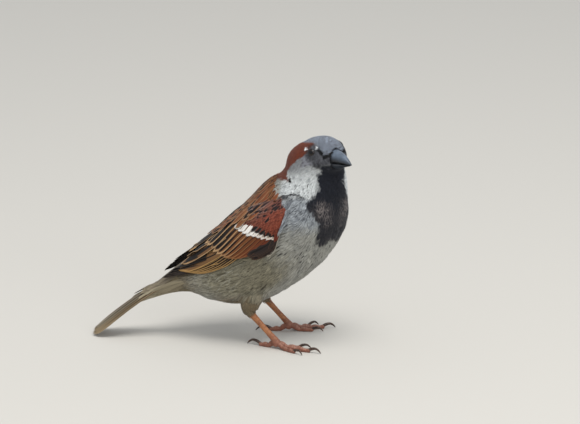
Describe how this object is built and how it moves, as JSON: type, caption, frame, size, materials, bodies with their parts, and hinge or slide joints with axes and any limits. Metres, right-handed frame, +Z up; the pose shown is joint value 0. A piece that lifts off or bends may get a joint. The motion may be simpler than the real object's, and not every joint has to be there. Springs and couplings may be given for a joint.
{
  "type": "house sparrow model",
  "caption": "Still, life-size male house sparrow, standing on both feet with its tail tip on the ground and its head turned to its right.",
  "frame": {"origin": "on the ground, under the middle of the whole bird's outline", "axes": "+X is forward, the way the breast and toes point; +Y is the bird's left; +Z is up"},
  "size_m": [0.1182, 0.0478, 0.0937],
  "materials": {
    "plumage": "soft matte body feathers, marked grey, black, white, buff and chestnut",
    "wing_feathers": "matte vanes, chestnut and black with buff edges and a white bar",
    "tail_feathers": "matte vanes, dark brown with pale edges",
    "bill": "smooth blue-black horn with a soft sheen",
    "eye": "wet glossy dark brown",
    "leg": "scaly orange-brown skin",
    "claw": "dark brown horn"
  },
  "bodies": {
    "root": {"head": "plumage", "neck": "plumage", "trunk": "plumage", "rump": "plumage", "bill_upper": "bill", "bill_lower": "bill", "tail": "tail_feathers", "wing_coverts_left": "wing_feathers", "wing_secondaries_left": "wing_feathers", "wing_primaries_left": "wing_feathers", "eye_left": "eye", "thigh_left": "plumage", "tarsus_left": "leg", "toe_middle_left": "leg", "claw_middle_left": "claw", "toe_inner_left": "leg", "claw_inner_left": "claw", "toe_outer_left": "leg", "claw_outer_left": "claw", "toe_hind_left": "leg", "claw_hind_left": "claw", "wing_coverts_right": "wing_feathers", "wing_secondaries_right": "wing_feathers", "wing_primaries_right": "wing_feathers", "eye_right": "eye", "thigh_right": "plumage", "tarsus_right": "leg", "toe_middle_right": "leg", "claw_middle_right": "claw", "toe_inner_right": "leg", "claw_inner_right": "claw", "toe_outer_right": "leg", "claw_outer_right": "claw", "toe_hind_right": "leg", "claw_hind_right": "claw"}
  },
  "joints": []
}
